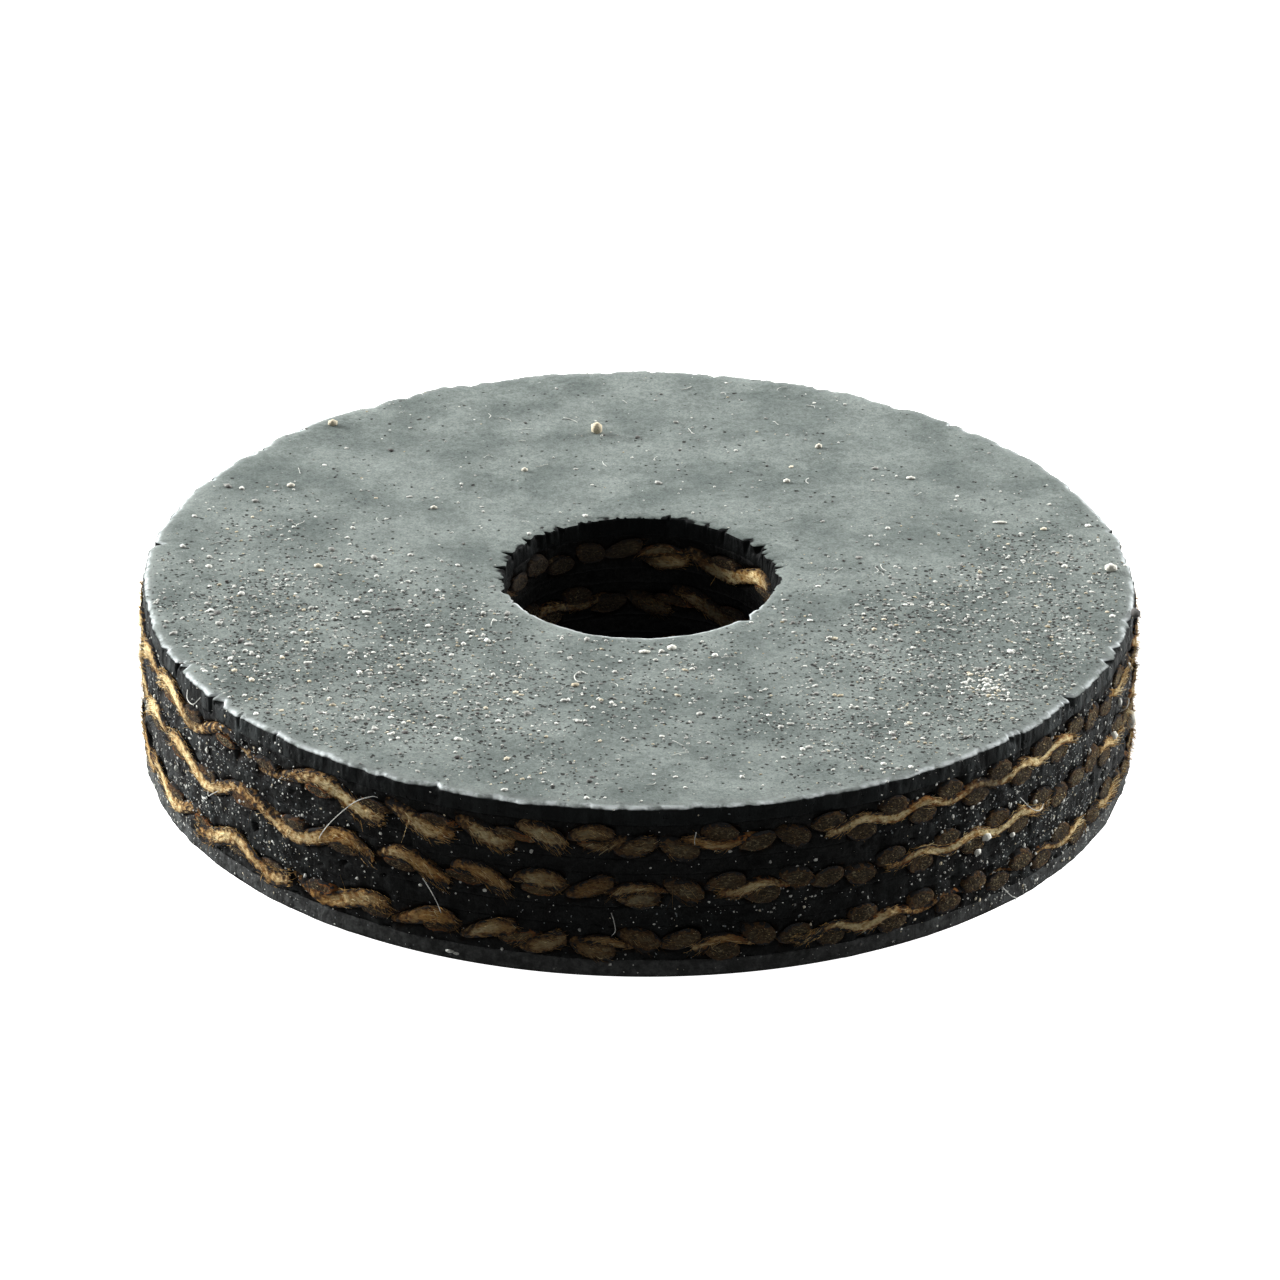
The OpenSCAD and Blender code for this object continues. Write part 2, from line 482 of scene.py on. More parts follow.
class Graph:
    """A short way to write a material's nodes. An input may be a number, a colour or a socket, and
    with None it stays as it is."""

    def __init__(self, name):
        self.material = bpy.data.materials.new(name)
        self.material.use_nodes = True
        self.tree = self.material.node_tree
        self.shader = self.tree.nodes["Principled BSDF"]

    def put(self, socket, value):
        if isinstance(value, bpy.types.NodeSocket):
            self.tree.links.new(value, socket)
        elif value is not None:
            if hasattr(socket.default_value, "__len__") and len(socket.default_value) == 4:
                value = (*value, 1) if len(value) == 3 else value
            socket.default_value = value

    def node(self, kind, inputs, output=0, **settings):
        made = self.tree.nodes.new("ShaderNode" + kind)
        for key, value in settings.items():
            setattr(made, key, value)
        for key, value in inputs.items():
            self.put(made.inputs[key], value)
        return made.outputs[output]

    def place(self, turn=0.0, scale=(1, 1, 1)):
        """The object's own coordinates, turned about Z by some degrees and then scaled."""
        here = self.node("TexCoord", {}, "Object")
        turned = (0, 0, math.radians(turn))
        return self.node("Mapping", {"Vector": here, "Rotation": turned, "Scale": scale})

    def noise(self, size, detail=2.0, place=None, roughness=0.5):
        """Noise from 0 to 1 with features about size millimetres across."""
        inputs = {"Scale": 1 / (size * MM), "Detail": detail, "Roughness": roughness}
        inputs["Vector"] = place or self.place()
        return self.node("TexNoise", inputs, "Fac")

    def spots(self, size, share, place=None, small=0.12, large=0.42):
        """Round spots of mixed sizes, one in each of a share of the cells."""
        where = place or self.place()
        shake = self.node("TexNoise", {"Vector": where, "Scale": 1 / (0.12 * MM)}, "Color")
        shake = self.node("VectorMath", {0: shake, 1: (0.5, 0.5, 0.5)}, operation="SUBTRACT")
        shake = self.node("VectorMath", {0: shake, 3: 0.12 * MM}, operation="SCALE")
        where = self.node("VectorMath", {0: where, 1: shake}, operation="ADD")
        away = self.node("TexVoronoi", {"Scale": 1 / (size * MM), "Vector": where}, "Distance")
        chance, girth, _ = self.split(away.node.outputs["Color"])
        has = self.math("GREATER_THAN", share, chance)
        radius = self.math("MULTIPLY_ADD", girth, large - small, small)
        inner = self.times(radius, 0.6)
        return self.times(has, self.span(away, radius, inner))

    def math(self, operation, a, b=None, c=None):
        return self.node("Math", {0: a, 1: b, 2: c}, operation=operation)

    def times(self, a, b):
        return self.math("MULTIPLY", a, b)

    def span(self, value, low, high, to_low=0.0, to_high=1.0):
        inputs = {"Value": value, "From Min": low, "From Max": high, "To Min": to_low, "To Max": to_high}
        return self.node("MapRange", inputs, interpolation_type="SMOOTHSTEP")

    def mix(self, amount, a, b, blend="MIX"):
        return self.node("Mix", {0: amount, 6: a, 7: b}, 2, data_type="RGBA", blend_type=blend)

    def dim(self, colour, by):
        """The colour multiplied by another one."""
        return self.mix(1.0, colour, by, "MULTIPLY")

    def split(self, vector):
        return self.node("SeparateXYZ", {0: vector}).node.outputs

    def look(self):
        """The 3 values that the mesh carries at each point."""
        return self.split(self.node("Attribute", {}, "Vector", attribute_name="look"))

    def bump(self, height, depth, below=None):
        """A bump whose height goes from 0 to 1 over depth millimetres."""
        inputs = {"Strength": 1.0, "Distance": depth * MM, "Height": height, "Normal": below}
        return self.node("Bump", inputs)

    def finish(self, colour, roughness, gloss=None, relief=None):
        inputs = {"Base Color": colour, "Roughness": roughness, "Specular IOR Level": gloss}
        for name, value in (*inputs.items(), ("Normal", relief)):
            self.put(self.shader.inputs[name], value)
        return self.material


def cover_material():
    """Matte grey bloomed rubber with pits and specks on the face, the pits painted near black for their
    shade, and black cut rubber at edges with a pale haze that is partly dust and partly painted sheen.
    """
    g = Graph("cover_rubber")
    cut, lip, dusty = g.look()
    cloud = g.noise(2.4, 4, roughness=0.6)
    fine = g.noise(0.2, 5, roughness=0.75)
    grey = g.mix(g.span(cloud, 0.3, 0.7), (0.120, 0.141, 0.132), (0.212, 0.240, 0.224))
    grey = g.mix(g.span(fine, 0.3, 0.66), g.dim(grey, (0.66, 0.66, 0.66)), grey)
    grain = g.noise(0.08, 2, roughness=0.6)
    grey = g.mix(g.span(grain, 0.3, 0.6), g.dim(grey, (0.74, 0.74, 0.74)), grey)
    share = g.math("MULTIPLY_ADD", dusty, 0.95, 0.02)
    shaded_pits = g.math("MAXIMUM", g.spots(0.18, share), g.spots(0.26, share, g.place(40), 0.12, 0.38))
    # Painted shade: the pits are painted nearly black for the shade inside them.
    grey = g.mix(g.times(shaded_pits, 0.9), grey, (0.014, 0.013, 0.012))
    specks = g.spots(0.19, g.times(dusty, 0.7), g.place(17), 0.1, 0.3)
    grey = g.mix(g.times(specks, 0.7), grey, (0.36, 0.37, 0.345))
    worn = g.span(g.noise(0.7, 4, g.place(55), 0.65), 0.36, 0.6, 0.05, 1)
    grey = g.mix(g.span(lip, 0.06, 0.6, 0, 0.35), grey, (0.24, 0.262, 0.25))
    grey = g.mix(g.times(g.span(lip, 0.42, 0.82), worn), grey, (0.54, 0.58, 0.58))
    grey = g.mix(g.span(lip, -0.15, -0.6), grey, (0.004, 0.0045, 0.0045))
    broad = g.noise(0.5, 4, g.place(0, (1, 1, 0.3)), 0.6)
    black = g.mix(g.span(broad, 0.4, 0.75), (0.002, 0.0023, 0.0023), (0.009, 0.0102, 0.0102))
    # A pale haze on the cut wall: partly dust, partly painted sheen where the side lights graze it.
    dust_and_sheen_haze = g.times(g.span(broad, 0.35, 0.6), g.times(dusty, cut))
    black = g.mix(g.times(dust_and_sheen_haze, 0.8), black, (0.045, 0.051, 0.051))
    dust = g.spots(0.26, g.times(dusty, 0.5), g.place(33), 0.05, 0.2)
    black = g.mix(g.times(dust, 0.5), black, (0.30, 0.34, 0.35))
    relief = g.bump(shaded_pits, -0.05, g.bump(specks, 0.03, g.bump(fine, 0.035)))
    relief = g.bump(g.times(broad, cut), 0.12, relief)
    return g.finish(g.mix(cut, grey, black), 0.55, 0.018, relief)


def cut_material(name, dusty, low, high, gloss, roughness):
    """Black rubber as the punch leaves it: fine lines down the wall, pores and a little dust, painted
    shade right beside the yarns, and a pale haze that is partly dust and partly painted sheen.
    """
    g = Graph(name)
    lines = g.noise(0.07, 3, g.place(0, (1, 1, 0.05)))
    rough = g.noise(0.16, 5, roughness=0.7)
    black = g.mix(g.span(rough, 0.3, 0.75), (low, low * 1.04, low * 1.02), (high, high * 1.04, high))
    lumps = g.noise(0.5, 3, roughness=0.6)
    black = g.mix(g.span(lumps, 0.35, 0.62), g.dim(black, (0.35, 0.35, 0.35)), black)
    _, near_yarn, level = g.look()
    # A pale haze on the wall: partly dust, partly painted sheen where the side lights graze it.
    dust_and_sheen_haze = g.times(g.span(lumps, 0.4, 0.62), level)
    black = g.mix(g.times(dust_and_sheen_haze, 0.5), black, (0.035, 0.040, 0.040))
    # Painted shade: the rubber is painted nearly black right beside the yarns, where their shade falls.
    black = g.mix(g.times(near_yarn, 0.85), black, (0.0012, 0.0010, 0.0008))
    brown = g.times(near_yarn, g.span(g.noise(0.3, 3), 0.45, 0.7))
    black = g.mix(g.times(brown, 0.3), black, (0.03, 0.014, 0.006))
    dust = g.spots(0.15, g.times(level, 0.6), g.place(21), 0.1, 0.32)
    black = g.mix(g.times(dust, dusty), black, (0.38, 0.42, 0.43))
    relief = g.bump(lines, 0.025, g.bump(rough, 0.05, g.bump(lumps, 0.08)))
    return g.finish(black, roughness, gloss, relief)


def yarn_material(name, lay, core, edge, stain):
    """Cotton yarn: straw-coloured along its fibres, dark brown where they are cut across, and stained
    and covered in places by the rubber round it. Through its tone it carries painted shade towards the
    front of the wheel and in the bore."""
    g = Graph(name)
    tone, near_edge, end_on = g.look()
    along = g.place(lay, (0.12, 1, 1))
    fibres = g.noise(0.055, 3, along, 0.65)
    strands = g.noise(0.16, 2, g.place(lay, (0.2, 1, 1)))
    patchy = g.noise(0.5, 4, roughness=0.6)
    speckle = g.noise(0.06, 3, g.place(lay, (0.4, 1, 1)), 0.7)
    rough_edge = g.math("ADD", near_edge, g.span(g.noise(0.2, 4), 0.25, 0.75, -0.25, 0.25))
    gold = g.mix(g.span(tone, 0.2, 0.85), core, edge)
    gold = g.mix(g.span(patchy, 0.5, 0.72), gold, edge)
    gold = g.mix(g.span(rough_edge, 0.35, 0.9, 0, 0.8), gold, g.dim(edge, (0.6, 0.55, 0.5)))
    deep = g.dim(gold, (0.50, 0.36, 0.22))
    gold = g.mix(g.span(strands, 0.32, 0.55), deep, gold)
    gold = g.mix(g.span(fibres, 0.3, 0.56), g.dim(gold, (0.55, 0.45, 0.33)), gold)
    ends = g.mix(g.span(speckle, 0.36, 0.66), (0.012, 0.009, 0.005), (0.080, 0.059, 0.029))
    ends = g.mix(g.span(speckle, 0.55, 0.68), ends, (0.32, 0.27, 0.15))
    ends = g.mix(g.span(patchy, 0.42, 0.62), g.dim(ends, (0.5, 0.45, 0.4)), ends)
    ends = g.mix(g.span(g.noise(0.9, 3, g.place(70)), 0.5, 0.75, 0, 0.3), ends, stain)
    gold = g.mix(g.span(end_on, 0.42, 0.9), gold, ends)
    rim = g.mix(g.span(g.noise(1.1, 3, g.place(25)), 0.46, 0.62), (0.030, 0.016, 0.007), stain)
    gold = g.mix(g.span(rough_edge, 0.72, 1.0), gold, rim)
    gold = g.mix(g.span(rough_edge, 0.96, 1.08), gold, (0.006, 0.006, 0.006))
    # The yarn is darkened by rubber smear, and in the bore by painted shade, which the tone carries
    # below 0.
    yarn_smear_and_shade = g.span(g.noise(0.8, 4, g.place(10), 0.65), 0.64, 0.70)
    yarn_smear_and_shade = g.math("MAXIMUM", yarn_smear_and_shade, g.span(tone, -0.05, -0.9))
    gold = g.mix(g.times(yarn_smear_and_shade, 0.85), gold, (0.009, 0.007, 0.005))
    relief = g.bump(fibres, 0.06, g.bump(strands, 0.1, g.bump(speckle, 0.03)))
    return g.finish(gold, 0.9, 0.1, relief)


def fibre_material():
    g = Graph("cotton_fibres")
    tone = g.look()[0]
    colour = g.mix(g.span(tone, 0, 0.5), (0.035, 0.019, 0.008), (0.42, 0.25, 0.08))
    colour = g.mix(g.span(tone, 0.45, 0.95), colour, (0.86, 0.74, 0.44))
    return g.finish(colour, 0.85, 0.06)


def dust_material():
    g = Graph("dust")
    tone, tan, _ = g.look()
    grain = g.noise(0.06, 3)
    colour = g.mix(tone, (0.03, 0.028, 0.025), (0.66, 0.67, 0.62))
    colour = g.mix(tan, colour, (0.46, 0.38, 0.23))
    colour = g.mix(g.span(grain, 0.3, 0.6), g.dim(colour, (0.6, 0.6, 0.58)), colour)
    return g.finish(colour, 0.9, relief=g.bump(grain, 0.02))


COVER = cover_material()
CUT = cut_material("cut_rubber", 0.6, 0.002, 0.013, 0.013, 0.5)
# The bottom cover's rubber is painted a lighter grey than the other cut rubber: painted light, the glow
# of the white floor just below it.
BASE = cut_material("base_rubber", 0.35, 0.034, 0.078, 0.06, 0.8)
STRAW = (0.80, 0.68, 0.38)
COTTON = (
    yarn_material("warp_cotton", 50, STRAW, (0.44, 0.25, 0.07), (0.075, 0.038, 0.012)),
    yarn_material("weft_cotton", 140, STRAW, (0.48, 0.27, 0.07), (0.20, 0.07, 0.012)),
)
FIBRES = fibre_material()
DUST = dust_material()

# ---- rubber layers

RIM_COUNT, BORE_COUNT = 1400, 500
LIP = 0.16  # how far the top edge of the rim is rounded over


def face_rows(z):
    """Rows across the top from the bore to the rim, with fewer points where the ring is small."""
    rows = []
    for start, end, count, spacing in (
        (BORE + 0.05, 7.6, 440, 0.11), (7.6, 11.2, 560, 0.125), (11.2, 14.6, 720, 0.13),
        (14.6, RIM - LIP, 900, 0.13),
    ):
        steps = round((end - start) / spacing)
        for radius in np.linspace(start, end, steps, endpoint=False):
            near = math.exp(max(BORE + 0.05 - radius, radius - RIM + LIP) / 0.5)
            rows.append((radius, z, count, near if near > 0.02 else 0, 1, 0))
    rows.append((RIM - LIP, z, RIM_COUNT, 1, 1, 0))
    return rows


def layer(node, rows, material, ply=None, torn=1.0):
    """The rubber piece that replaces a node, turned from rows."""
    build = Build()
    turned(build, rows, ply, torn)
    build.make(node.replace("_friction", "") + "_rubber", material, [node])


def inner_layer(node, spacing, ply=None):
    """A layer of which only the walls show."""
    low, high = heights(node)
    rows = wall_rows(RIM, low, high, spacing, RIM_COUNT, True)
    rows += wall_rows(BORE, low, high, spacing * 1.3, BORE_COUNT, False)
    layer(node, rows, CUT, ply)


for node in ("upper_skim", "lower_skim"):
    inner_layer(node, 0.08)
for ply in PLIES:
    inner_layer(ply.name + "_ply_friction", 0.07, ply)

low, high = heights("top_cover")
rows = wall_rows(RIM, low, high - LIP, 0.07, 1800, True)
rows += corner_rows(RIM, high, LIP, 1, 1, 1800)
rows += face_rows(high)[::-1]
rows += corner_rows(BORE, high, 0.05, -1, 1, 700, 3)[::-1]
rows += wall_rows(BORE, low, high - 0.05, 0.09, 700, False)
layer("top_cover", rows, COVER, torn=0.45)

low, high = heights("bottom_cover")
rows = wall_rows(RIM, low + 0.05, high, 0.1, 2000, False)
rows += corner_rows(RIM, low, 0.05, 1, -1, 2000, 3)
rows += [(radius, low, 400, 0, 0, 0.6) for radius in np.linspace(RIM - 0.05, BORE + 0.05, 44)]
rows += corner_rows(BORE, low, 0.05, -1, -1, 500, 3)[::-1]
rows += wall_rows(BORE, low + 0.05, high, 0.1, 500, True)
layer("bottom_cover", rows[::-1], BASE, torn=0.12)

# ---- yarns

PROUD = 0.1  # how far cut yarn may spring out of the rubber
SIDES = (28, 24)  # how many sides the tube of a warp yarn and of a weft yarn has
FRAYED = 9600  # how many frayed fibres each ply has

# Where rubber is smeared over the yarns: angle and height, how far it reaches, and how much
RIM_SMEARS = [
    (43, 5.15, 4.5, 0.5, 0.8), (10, 3.0, 9, 0.6, 0.55), (-8, 5.3, 3, 0.5, 0.3), (22, 1.3, 5, 0.5, 0.3),
    (30, 3.2, 4, 0.5, 0.4), (-61, 5.0, 2.5, 0.4, 0.7), (-58, 3.3, 2.5, 0.4, 0.6), (68, 1.3, 3, 0.5, 0.6),
    (56, 1.4, 3, 0.6, 0.5), (4, 1.5, 3, 0.4, 0.5), (130, 3.3, 9, 0.6, 0.6), (-150, 5.1, 8, 0.6, 0.6),
]
# Where the yarns in the bore are left bright, as light reaches them there; the rest of the bore's yarns
# get painted shade
BORE_LIT = [(128, 5.15, 14, 0.8, 1.0), (164, 5.15, 10, 0.8, 0.6), (-138, 3.3, 18, 1.0, 1.0),
              (158, 3.3, 16, 0.8, 0.45), (-20, 3.0, 40, 3, 0.7)]


def bumps(points, places):
    angle, z = angle_of(points), points[:, 2]
    total = np.zeros(len(points))
    for place, level, wide, high, amount in places:
        off = (apart(angle, place) / wide) ** 2 + ((z - level) / high) ** 2
        total = np.maximum(total, amount * np.exp(-off))
    return total


def smear_and_shade(points, in_bore):
    """How much the yarns are darkened, from 0 to 1: by rubber smear on the rim, and in the bore by
    painted shade everywhere but the listed lit places.
    """
    return np.where(in_bore, 0.78 - 0.78 * bumps(points, BORE_LIT), bumps(points, RIM_SMEARS))


def yarn_stations(offset, half_wide):
    """Where to put a yarn's rings, from the middle to its end, and whether it meets the bore."""
    near, far = max(abs(offset) - half_wide, 0), abs(offset) + half_wide

    def reach(radius, across):
        return math.sqrt(max(radius**2 - across**2, 0))

    crosses = far < BORE
    stations = [reach(BORE, far) if crosses else 0]

    def go_on(to, spacing, least):
        count = max(least, round((to - stations[-1]) / spacing))
        stations.extend(np.linspace(stations[-1], to, count)[1:])

    # closely to just outside the bore, then far apart, and closely again near the rim
    if reach(BORE + 0.3, near) > stations[0]:
        go_on(reach(BORE + 0.3, near), 0.07, 3)
    if reach(RIM - 0.3, far) > stations[-1] + 0.1:
        go_on(reach(RIM - 0.3, far), 1.13, 2)
    go_on(reach(RIM, near), 0.06, 2)
    return np.array(stations), crosses


def spring(over, amount):
    """Yarn that would reach past the cut is pressed back, so that it stands a little proud."""
    return amount * (1 - np.exp(-np.maximum(over, 0) / amount))


def tube_quads(rings, sides):
    """The faces of a tube whose points come ring by ring."""
    j = np.arange(sides)
    k = (j + 1) % sides
    first = (np.arange(rings - 1) * sides)[:, None]
    return np.stack([first + j, first + k, first + sides + k, first + sides + j], -1)


def yarn_faces(rings, sides, kind):
    """A yarn's faces. After its rings come the middle points of its two ends."""
    j = np.arange(sides)
    k = (j + 1) % sides
    last = (rings - 1) * sides
    quads = tube_quads(rings, sides)
    start = np.stack([np.full(sides, rings * sides), k, j], 1)
    end = np.stack([np.full(sides, rings * sides + 1), last + j, last + k], 1)
    caps = np.concatenate([start, end])
    return (quads[..., ::-1], caps[:, ::-1]) if kind else (quads, caps)


class Yarn:
    """One whole yarn of a ply, from rim to rim or from the rim to the bore."""

    def __init__(self, ply, number, kind):
        self.ply, self.number, self.kind = ply, number, kind
        self.wide, self.thick = WIDE[kind], THICK[kind]
        even = (number + ply.shift[kind]) * PITCH[kind]
        self.offset = even + float(ply.wander(kind, *((even, 0) if kind else (0, even))))
        self.slant = float(np.interp(even, ply.slants[0], ply.slants[2])) if kind else 0.0
        self.seed = ply.seed + number * 7 + kind * 3

    def height(self, along, across):
        x, y = (across, along) if self.kind else (along, across)
        return self.ply.height(self.kind, self.number, x, y)

    def place(self, along, across, up):
        """Points in the cloth's own directions."""
        return np.stack([across, along, up] if self.kind else [along, across, up], 1)

    def lay(self, build, ends):
        if abs(self.offset) - self.wide / 2 > RIM - 0.12:
            return
        stations, crosses = yarn_stations(self.offset, self.wide / 2)
        if crosses:
            runs = [stations, -stations[::-1]]
        else:
            runs = [np.concatenate([-stations[:0:-1], stations])]
        for run in runs:
            self.lay_run(build, run, ends)

    def rings(self, run, sides):
        """The points of a run, ring by ring, and then the middle points of its ends."""
        # the yarn tapers to a rounded stub where it has left the rubber
        taper, stub = np.array([0.03, 0.07, 0.1, 0.12]), np.array([0.45, 0.75, 0.92, 1])
        swell = np.concatenate([stub, np.ones(len(run)), stub[::-1]])
        along = np.concatenate([run[0] - taper[::-1], run, run[-1] + taper])
        line = np.stack([along, np.full(len(along), self.offset), np.zeros(len(along))], 1)
        middle = self.offset + self.slant * along + 0.05 * noise(line, (2.5, 5, 1), self.seed)
        level = self.height(along, middle) + 0.03 * noise(line, (1.8, 5, 1), self.seed + 1)
        s = np.repeat(along, sides)
        w = np.tile(np.arange(sides) * 2 * np.pi / sides, len(along))
        shape = np.stack([s, np.cos(w) * 0.4 + self.seed, np.sin(w) * 0.4], 1)
        bulge = 1 + 0.1 * noise(shape, (0.7, 0.3, 0.3), self.seed + 2) + 0.03 * np.cos(3 * w + 2.2 * s)
        size = np.repeat(swell, sides) * bulge
        across = np.repeat(middle, sides) + self.wide / 2 * np.cos(w) * size
        to_rim = np.maximum(RIM - np.hypot(along, middle), 0)
        splay = 1 + 0.14 * np.repeat(np.exp(-to_rim / 0.4), sides)
        up = np.repeat(level, sides) + self.thick / 2 * np.sin(w) * size * splay
        centres = self.place(along, middle, level)
        return np.concatenate([self.place(s, across, up), centres[:1], centres[-1:]])

    def cut(self, points):
        """Moves points past the rim or the bore back to the cut. Returns how cut each one is, and
        whether it is on the bore's side."""
        radius = np.hypot(points[:, 0], points[:, 1])
        fluff = noise(points, np.roll((0.35, 0.09, 0.09), self.kind), self.seed + 4)
        over, under = radius - RIM, BORE - radius
        proud = PROUD * (1 + 0.5 * noise(points, 0.8, self.seed + 5))
        target = np.where(over > 0, RIM + spring(over, proud), radius)
        target = np.where(under > 0, BORE - spring(under, proud), target)
        cut = step(0, 0.06, np.maximum(over, under))
        target = target + np.where(over > under, 1, -1) * cut * 0.035 * fluff
        points[:, :2] *= (target / np.maximum(radius, 1e-6))[:, None]
        return cut, under > over

    def lay_run(self, build, run, ends):
        ply, kind = self.ply, self.kind
        sides = SIDES[kind]
        points = self.rings(run, sides)
        cut, in_bore = self.cut(points)
        along, across = points[:, kind], points[:, 1 - kind]
        level = self.height(along, across)
        off = across - self.offset - self.slant * along
        edge = np.hypot(off / (self.wide / 2), (points[:, 2] - level) / (self.thick / 2))
        wheel = ply.to_wheel(points)
        # Painted shade: the yarns are painted browner towards the front of the wheel, which the lamps
        # light least, and paler at the sides, where the side lights glare.
        painted_front_shade = 0.2 + 0.4 * hill(angle_of(wheel), -15, 35)
        own = hashed(self.number, 1 + kind, 3, ply.seed) - 0.5
        tone = painted_front_shade + 0.4 * own + 0.4 * noise(points, (1.2, 1.2, 1.2), self.seed + 6)
        # Rubber smear on the rim and painted shade in the bore darken the yarn; below 0 the tone means
        # dark.
        smear_and_bore_shade = smear_and_shade(wheel, in_bore)
        tone = np.clip(tone, 0, 1) * (1 - smear_and_bore_shade) - smear_and_bore_shade
        end_on = np.abs(unit(points * (1, 1, 0))[:, kind])
        quads, caps = yarn_faces((len(points) - 2) // sides, sides, kind)
        build.add(warped(wheel), np.stack([tone, edge, end_on], 1), quads, caps)
        shown = np.flatnonzero(cut > 0.5)
        direction = np.zeros((len(shown), 3))
        direction[:, kind] = 1
        direction[:, 2] = (self.height(along[shown] + 0.05, across[shown]) - level[shown]) / 0.05
        ways = unit(ply.to_wheel(direction) - (0, 0, ply.middle))
        inner = np.where(in_bore[shown], -1.0, 1.0)
        ends.append((warped(wheel[shown]), ways, inner, edge[shown], tone[shown]))


def tubes(build, paths, girths, sides, tones, askew=(0.3, 0.5, 0.81)):
    """Thin fibres along paths of equally many points, with their thickness at each point. The
    first side of each is square to its way and to askew."""
    count, knots = paths.shape[:2]
    way = unit(np.gradient(paths, axis=1))
    side = unit(np.cross(way, askew))
    other = np.cross(way, side)
    turn = np.arange(sides) * 2 * np.pi / sides
    girths = np.broadcast_to(girths, (count, knots))[:, :, None, None]
    points = paths[:, :, None] + girths * (
        np.cos(turn)[:, None] * side[:, :, None] + np.sin(turn)[:, None] * other[:, :, None]
    )
    start = (np.arange(count) * knots * sides)[:, None, None]
    j = np.arange(1, sides - 1)
    near = np.stack([j + 1, j, 0 * j], 1)
    far = near[:, ::-1] + (knots - 1) * sides
    values = np.zeros((count * knots * sides, 3))
    values[:, 0] = np.repeat(tones, knots * sides)
    quads = tube_quads(knots, sides) + start[..., None]
    build.add(points, values, quads, np.concatenate([near + start, far + start]))


def wildness(ply, angle):
    """How loose a ply's frayed fibres are at an angle."""
    patchy = 1 + 0.6 * noise(around(angle, RIM, 0), 4, ply.seed + 50)
    return patchy + sum(amount * hill(angle, place, wide) for place, wide, amount in ply.tufts)


def fray(build, ply, ends, count):
    """Fibres at the cut yarns. Most lie along the yarn and lift a little, some stand out, and
    where a yarn is cut across there are only short stubs."""
    random = np.random.default_rng(ply.seed)
    ends = [np.concatenate(part) for part in zip(*ends)]
    pick = random.integers(0, len(ends[0]), count)
    points, ways, inner, edge, tone = (part[pick] for part in ends)
    out = unit(points * (1, 1, 0)) * inner[:, None]
    along = np.einsum("ij,ij->i", ways, out)
    stub = np.abs(along) > 0.75
    ways = ways * np.where(np.abs(along) > 0.3, np.sign(along), random.choice([-1, 1], count))[:, None]
    free = wildness(ply, angle_of(points))
    loose = random.uniform(0, 1, count) < 0.03 * free
    spread = random.normal(size=(count, 3)) * np.where(loose, 0.5, 0.11)[:, None]
    lift = np.where(loose, random.uniform(0, 0.7, count), random.uniform(0.02, 0.15, count))
    heads = unit(ways + spread + out * lift[:, None])
    bends = random.normal(size=(count, 3)) * np.where(loose, 0.5, 0.12)[:, None]
    bends -= out * np.where(loose, 0, 0.12)[:, None]
    length = random.uniform(0.12, 0.4, count) * np.where(loose, 0.6 + 0.5 * free, 1)
    length = np.where(stub, random.uniform(0.03, 0.1, count), length)
    roots = (points - out * 0.015)[:, None]
    u = np.linspace(0, 1, 4)[:, None]
    paths = roots + length[:, None, None] * (u * heads[:, None] + u**2 * bends[:, None])
    # The fibres take their yarn's tone, which carries painted shade towards the front of the wheel and
    # in the bore.
    shade = 1.0 - 0.5 * step(0.45, 1.05, edge) - 0.5 * np.abs(tone) + random.normal(0, 0.2, count)
    tips = random.uniform(0, 1, count) < 0.18
    shade = shade - (0.6 - 0.5 * tips) * step(0.5, 0.85, np.abs(along))
    shade = np.clip(shade * (1 + np.minimum(tone, 0)), 0, 1)
    thick = random.uniform(0.006, 0.011, count)
    tubes(build, paths, thick[:, None] * (1 - 0.6 * u[:, 0]), 3, shade)


across = round(2 * RIM * MM, 5)
for ply in PLIES:
    name, ends, yarns = ply.name + "_ply_", [], []
    for kind, word in enumerate(("warp", "weft")):
        build = Build()
        most = math.ceil(RIM / PITCH[kind]) + 1
        for number in range(-most, most + 1):
            Yarn(ply, number, kind).lay(build, ends)
        yarns.append(build.make(name + word + "_yarns", COTTON[kind], [name + word]))
    build = Build()
    fray(build, ply, ends, FRAYED)
    fibres = build.make(name + "frayed_fibres", FIBRES)

# ---- dust, grains and stray fibres

GOLDEN = (1 + 5**0.5) / 2
corners = [(0, s, t * GOLDEN) for s in (-1, 1) for t in (-1, 1)]
ICO = unit(np.concatenate([np.roll(corners, -turn, axis=1) for turn in range(3)]))
near = np.linalg.norm(ICO[:, None] - ICO[None], axis=2) < 1.1
ICO_FACES = []
for a, b, c in combinations(range(12), 3):
    if near[a, b] and near[b, c] and near[a, c]:
        out = np.dot(np.cross(ICO[b] - ICO[a], ICO[c] - ICO[a]), ICO[a]) > 0
        ICO_FACES.append((a, b, c) if out else (a, c, b))
ICO_FACES = np.array(ICO_FACES)


def grains(build, centres, outs, sizes, flat, tone, tan, seed):
    """Small uneven grains that lie on a surface."""
    random = np.random.default_rng(seed)
    count = len(centres)
    side = unit(np.cross(outs, random.normal(size=(count, 3))))
    other = np.cross(outs, side)
    lumps = random.uniform(0.65, 1.25, (count, 12))
    stretch = random.uniform(0.7, 1.5, count)
    local = ICO[None] * lumps[:, :, None] * sizes[:, None, None]
    points = (
        centres[:, None]
        + local[:, :, :1] * (side * stretch[:, None])[:, None]
        + local[:, :, 1:2] * other[:, None]
        + local[:, :, 2:] * (outs * flat[:, None])[:, None]
        + (outs * (sizes * flat * 0.35)[:, None])[:, None]
    )
    values = np.repeat(np.stack([tone, tan, 0 * tan], 1), 12, axis=0)
    build.add(points, values, tris=ICO_FACES + (np.arange(count) * 12)[:, None, None])


